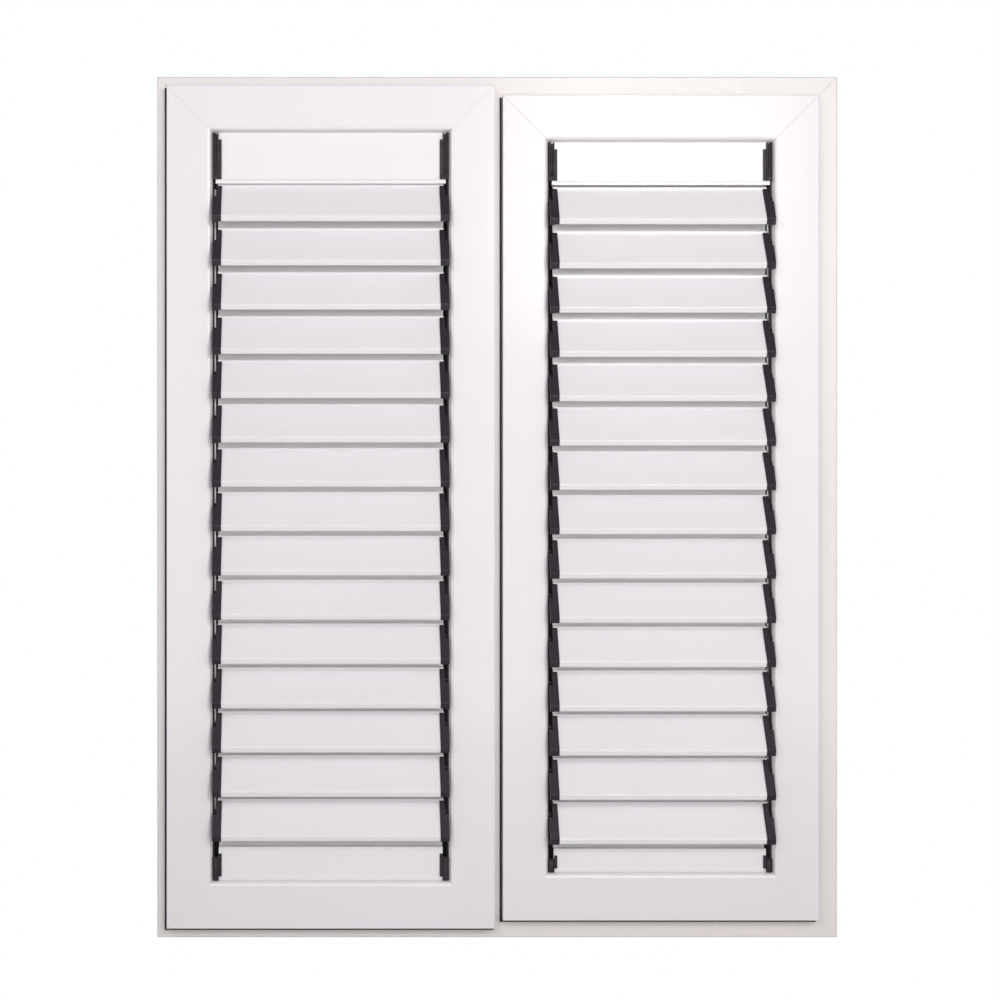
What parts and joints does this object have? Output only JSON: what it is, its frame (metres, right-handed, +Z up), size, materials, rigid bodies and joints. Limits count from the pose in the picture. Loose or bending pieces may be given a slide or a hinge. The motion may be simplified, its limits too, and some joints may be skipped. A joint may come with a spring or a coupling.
{
  "type": "louvred shutter window",
  "caption": "Slim white outer frame with a centre post and two side-hung leaves, each filled with coupled tilting louvres between fixed closing panels.",
  "frame": {"origin": "middle of the frame's underside, half way through its depth", "axes": "+X along the width to the viewer's right, +Y from the louvred front to the back, +Z up"},
  "size_m": [1.185, 0.1111, 1.5],
  "materials": {
    "frame_pvc": "satin white PVC",
    "leaf_pvc": "satin white PVC",
    "blade_pvc": "satin white PVC",
    "black_plastic": "moulded black nylon",
    "link_steel": "zinc plated strip",
    "hinge_steel": "zinc plated"
  },
  "bodies": {
    "frame": {"frame_sill": "frame_pvc", "frame_head": "frame_pvc", "frame_left_jamb": "frame_pvc", "frame_right_jamb": "frame_pvc", "frame_mullion": "frame_pvc", "left_hinge_brackets": "hinge_steel", "right_hinge_brackets": "hinge_steel"},
    "left_leaf": {"left_leaf_bottom_rail": "leaf_pvc", "left_leaf_top_rail": "leaf_pvc", "left_leaf_hinge_stile": "leaf_pvc", "left_leaf_meeting_stile": "leaf_pvc", "left_leaf_hinge_knuckles": "hinge_steel", "left_leaf_galleries": "black_plastic", "left_top_closing_panel": "blade_pvc", "left_bottom_closing_panel": "blade_pvc", "left_top_panel_holders": "black_plastic", "left_bottom_panel_holders": "black_plastic"},
    "left_louvre_01": {"left_louvre_01": "blade_pvc"},
    "left_louvre_02": {"left_louvre_02": "blade_pvc"},
    "left_louvre_03": {"left_louvre_03": "blade_pvc"},
    "left_louvre_04": {"left_louvre_04": "blade_pvc"},
    "left_louvre_05": {"left_louvre_05": "blade_pvc"},
    "left_louvre_06": {"left_louvre_06": "blade_pvc"},
    "left_louvre_07": {"left_louvre_07": "blade_pvc"},
    "left_louvre_08": {"left_louvre_08": "blade_pvc"},
    "left_louvre_09": {"left_louvre_09": "blade_pvc"},
    "left_louvre_10": {"left_louvre_10": "blade_pvc"},
    "left_louvre_11": {"left_louvre_11": "blade_pvc"},
    "left_louvre_12": {"left_louvre_12": "blade_pvc"},
    "left_louvre_13": {"left_louvre_13": "blade_pvc"},
    "left_louvre_14": {"left_louvre_14": "blade_pvc"},
    "left_louvre_15": {"left_louvre_15": "blade_pvc"},
    "left_link_bar": {"left_leaf_link_bar": "link_steel"},
    "right_leaf": {"right_leaf_bottom_rail": "leaf_pvc", "right_leaf_top_rail": "leaf_pvc", "right_leaf_hinge_stile": "leaf_pvc", "right_leaf_meeting_stile": "leaf_pvc", "right_leaf_hinge_knuckles": "hinge_steel", "right_leaf_galleries": "black_plastic", "right_top_closing_panel": "blade_pvc", "right_bottom_closing_panel": "blade_pvc", "right_top_panel_holders": "black_plastic", "right_bottom_panel_holders": "black_plastic"},
    "right_louvre_01": {"right_louvre_01": "blade_pvc"},
    "right_louvre_02": {"right_louvre_02": "blade_pvc"},
    "right_louvre_03": {"right_louvre_03": "blade_pvc"},
    "right_louvre_04": {"right_louvre_04": "blade_pvc"},
    "right_louvre_05": {"right_louvre_05": "blade_pvc"},
    "right_louvre_06": {"right_louvre_06": "blade_pvc"},
    "right_louvre_07": {"right_louvre_07": "blade_pvc"},
    "right_louvre_08": {"right_louvre_08": "blade_pvc"},
    "right_louvre_09": {"right_louvre_09": "blade_pvc"},
    "right_louvre_10": {"right_louvre_10": "blade_pvc"},
    "right_louvre_11": {"right_louvre_11": "blade_pvc"},
    "right_louvre_12": {"right_louvre_12": "blade_pvc"},
    "right_louvre_13": {"right_louvre_13": "blade_pvc"},
    "right_louvre_14": {"right_louvre_14": "blade_pvc"},
    "right_louvre_15": {"right_louvre_15": "blade_pvc"},
    "right_link_bar": {"right_leaf_link_bar": "link_steel"}
  },
  "joints": [
    {"name": "left_leaf_hinge", "type": "hinge", "parent": "frame", "child": "left_leaf", "pos_m": [-0.5705, -0.0395, 0.75], "axis": [0, 0, -1], "range_deg": [0, 90]},
    {"name": "left_tilt_01", "type": "hinge", "parent": "left_leaf", "child": "left_louvre_01", "pos_m": [0, -0.0445, 1.2879], "axis": [-1, 0, 0], "range_deg": [0, 60]},
    {"name": "left_tilt_02", "type": "hinge", "parent": "left_leaf", "child": "left_louvre_02", "pos_m": [0, -0.0445, 1.2117], "axis": [-1, 0, 0], "range_deg": [0, 60]},
    {"name": "left_tilt_03", "type": "hinge", "parent": "left_leaf", "child": "left_louvre_03", "pos_m": [0, -0.0445, 1.1355], "axis": [-1, 0, 0], "range_deg": [0, 60]},
    {"name": "left_tilt_04", "type": "hinge", "parent": "left_leaf", "child": "left_louvre_04", "pos_m": [0, -0.0445, 1.0593], "axis": [-1, 0, 0], "range_deg": [0, 60]},
    {"name": "left_tilt_05", "type": "hinge", "parent": "left_leaf", "child": "left_louvre_05", "pos_m": [0, -0.0445, 0.9831], "axis": [-1, 0, 0], "range_deg": [0, 60]},
    {"name": "left_tilt_06", "type": "hinge", "parent": "left_leaf", "child": "left_louvre_06", "pos_m": [0, -0.0445, 0.9069], "axis": [-1, 0, 0], "range_deg": [0, 60]},
    {"name": "left_tilt_07", "type": "hinge", "parent": "left_leaf", "child": "left_louvre_07", "pos_m": [0, -0.0445, 0.8307], "axis": [-1, 0, 0], "range_deg": [0, 60]},
    {"name": "left_tilt_08", "type": "hinge", "parent": "left_leaf", "child": "left_louvre_08", "pos_m": [0, -0.0445, 0.7545], "axis": [-1, 0, 0], "range_deg": [0, 60]},
    {"name": "left_tilt_09", "type": "hinge", "parent": "left_leaf", "child": "left_louvre_09", "pos_m": [0, -0.0445, 0.6783], "axis": [-1, 0, 0], "range_deg": [0, 60]},
    {"name": "left_tilt_10", "type": "hinge", "parent": "left_leaf", "child": "left_louvre_10", "pos_m": [0, -0.0445, 0.6021], "axis": [-1, 0, 0], "range_deg": [0, 60]},
    {"name": "left_tilt_11", "type": "hinge", "parent": "left_leaf", "child": "left_louvre_11", "pos_m": [0, -0.0445, 0.5259], "axis": [-1, 0, 0], "range_deg": [0, 60]},
    {"name": "left_tilt_12", "type": "hinge", "parent": "left_leaf", "child": "left_louvre_12", "pos_m": [0, -0.0445, 0.4497], "axis": [-1, 0, 0], "range_deg": [0, 60]},
    {"name": "left_tilt_13", "type": "hinge", "parent": "left_leaf", "child": "left_louvre_13", "pos_m": [0, -0.0445, 0.3735], "axis": [-1, 0, 0], "range_deg": [0, 60]},
    {"name": "left_tilt_14", "type": "hinge", "parent": "left_leaf", "child": "left_louvre_14", "pos_m": [0, -0.0445, 0.2973], "axis": [-1, 0, 0], "range_deg": [0, 60]},
    {"name": "left_tilt_15", "type": "hinge", "parent": "left_leaf", "child": "left_louvre_15", "pos_m": [0, -0.0445, 0.2211], "axis": [-1, 0, 0], "range_deg": [0, 60]},
    {"name": "left_link_bar_pin", "type": "hinge", "parent": "left_louvre_08", "child": "left_link_bar", "pos_m": [0, -0.0285, 0.7625], "axis": [-1, 0, 0], "range_deg": [-60, 0]},
    {"name": "right_leaf_hinge", "type": "hinge", "parent": "frame", "child": "right_leaf", "pos_m": [0.5505, -0.0395, 0.75], "axis": [0, 0, 1], "range_deg": [0, 90]},
    {"name": "right_tilt_01", "type": "hinge", "parent": "right_leaf", "child": "right_louvre_01", "pos_m": [0, -0.0445, 1.2826], "axis": [-1, 0, 0], "range_deg": [0, 60]},
    {"name": "right_tilt_02", "type": "hinge", "parent": "right_leaf", "child": "right_louvre_02", "pos_m": [0, -0.0445, 1.2064], "axis": [-1, 0, 0], "range_deg": [0, 60]},
    {"name": "right_tilt_03", "type": "hinge", "parent": "right_leaf", "child": "right_louvre_03", "pos_m": [0, -0.0445, 1.1302], "axis": [-1, 0, 0], "range_deg": [0, 60]},
    {"name": "right_tilt_04", "type": "hinge", "parent": "right_leaf", "child": "right_louvre_04", "pos_m": [0, -0.0445, 1.054], "axis": [-1, 0, 0], "range_deg": [0, 60]},
    {"name": "right_tilt_05", "type": "hinge", "parent": "right_leaf", "child": "right_louvre_05", "pos_m": [0, -0.0445, 0.9778], "axis": [-1, 0, 0], "range_deg": [0, 60]},
    {"name": "right_tilt_06", "type": "hinge", "parent": "right_leaf", "child": "right_louvre_06", "pos_m": [0, -0.0445, 0.9016], "axis": [-1, 0, 0], "range_deg": [0, 60]},
    {"name": "right_tilt_07", "type": "hinge", "parent": "right_leaf", "child": "right_louvre_07", "pos_m": [0, -0.0445, 0.8254], "axis": [-1, 0, 0], "range_deg": [0, 60]},
    {"name": "right_tilt_08", "type": "hinge", "parent": "right_leaf", "child": "right_louvre_08", "pos_m": [0, -0.0445, 0.7492], "axis": [-1, 0, 0], "range_deg": [0, 60]},
    {"name": "right_tilt_09", "type": "hinge", "parent": "right_leaf", "child": "right_louvre_09", "pos_m": [0, -0.0445, 0.673], "axis": [-1, 0, 0], "range_deg": [0, 60]},
    {"name": "right_tilt_10", "type": "hinge", "parent": "right_leaf", "child": "right_louvre_10", "pos_m": [0, -0.0445, 0.5968], "axis": [-1, 0, 0], "range_deg": [0, 60]},
    {"name": "right_tilt_11", "type": "hinge", "parent": "right_leaf", "child": "right_louvre_11", "pos_m": [0, -0.0445, 0.5206], "axis": [-1, 0, 0], "range_deg": [0, 60]},
    {"name": "right_tilt_12", "type": "hinge", "parent": "right_leaf", "child": "right_louvre_12", "pos_m": [0, -0.0445, 0.4444], "axis": [-1, 0, 0], "range_deg": [0, 60]},
    {"name": "right_tilt_13", "type": "hinge", "parent": "right_leaf", "child": "right_louvre_13", "pos_m": [0, -0.0445, 0.3682], "axis": [-1, 0, 0], "range_deg": [0, 60]},
    {"name": "right_tilt_14", "type": "hinge", "parent": "right_leaf", "child": "right_louvre_14", "pos_m": [0, -0.0445, 0.292], "axis": [-1, 0, 0], "range_deg": [0, 60]},
    {"name": "right_tilt_15", "type": "hinge", "parent": "right_leaf", "child": "right_louvre_15", "pos_m": [0, -0.0445, 0.2158], "axis": [-1, 0, 0], "range_deg": [0, 60]},
    {"name": "right_link_bar_pin", "type": "hinge", "parent": "right_louvre_08", "child": "right_link_bar", "pos_m": [0, -0.0285, 0.7572], "axis": [-1, 0, 0], "range_deg": [-60, 0]}
  ],
  "couplings": [
    {"joint": "left_tilt_01", "follows": "left_tilt_08", "ratio": 1},
    {"joint": "left_tilt_02", "follows": "left_tilt_08", "ratio": 1},
    {"joint": "left_tilt_03", "follows": "left_tilt_08", "ratio": 1},
    {"joint": "left_tilt_04", "follows": "left_tilt_08", "ratio": 1},
    {"joint": "left_tilt_05", "follows": "left_tilt_08", "ratio": 1},
    {"joint": "left_tilt_06", "follows": "left_tilt_08", "ratio": 1},
    {"joint": "left_tilt_07", "follows": "left_tilt_08", "ratio": 1},
    {"joint": "left_tilt_09", "follows": "left_tilt_08", "ratio": 1},
    {"joint": "left_tilt_10", "follows": "left_tilt_08", "ratio": 1},
    {"joint": "left_tilt_11", "follows": "left_tilt_08", "ratio": 1},
    {"joint": "left_tilt_12", "follows": "left_tilt_08", "ratio": 1},
    {"joint": "left_tilt_13", "follows": "left_tilt_08", "ratio": 1},
    {"joint": "left_tilt_14", "follows": "left_tilt_08", "ratio": 1},
    {"joint": "left_tilt_15", "follows": "left_tilt_08", "ratio": 1},
    {"joint": "left_link_bar_pin", "follows": "left_tilt_08", "ratio": -1},
    {"joint": "right_tilt_01", "follows": "right_tilt_08", "ratio": 1},
    {"joint": "right_tilt_02", "follows": "right_tilt_08", "ratio": 1},
    {"joint": "right_tilt_03", "follows": "right_tilt_08", "ratio": 1},
    {"joint": "right_tilt_04", "follows": "right_tilt_08", "ratio": 1},
    {"joint": "right_tilt_05", "follows": "right_tilt_08", "ratio": 1},
    {"joint": "right_tilt_06", "follows": "right_tilt_08", "ratio": 1},
    {"joint": "right_tilt_07", "follows": "right_tilt_08", "ratio": 1},
    {"joint": "right_tilt_09", "follows": "right_tilt_08", "ratio": 1},
    {"joint": "right_tilt_10", "follows": "right_tilt_08", "ratio": 1},
    {"joint": "right_tilt_11", "follows": "right_tilt_08", "ratio": 1},
    {"joint": "right_tilt_12", "follows": "right_tilt_08", "ratio": 1},
    {"joint": "right_tilt_13", "follows": "right_tilt_08", "ratio": 1},
    {"joint": "right_tilt_14", "follows": "right_tilt_08", "ratio": 1},
    {"joint": "right_tilt_15", "follows": "right_tilt_08", "ratio": 1},
    {"joint": "right_link_bar_pin", "follows": "right_tilt_08", "ratio": -1}
  ]
}
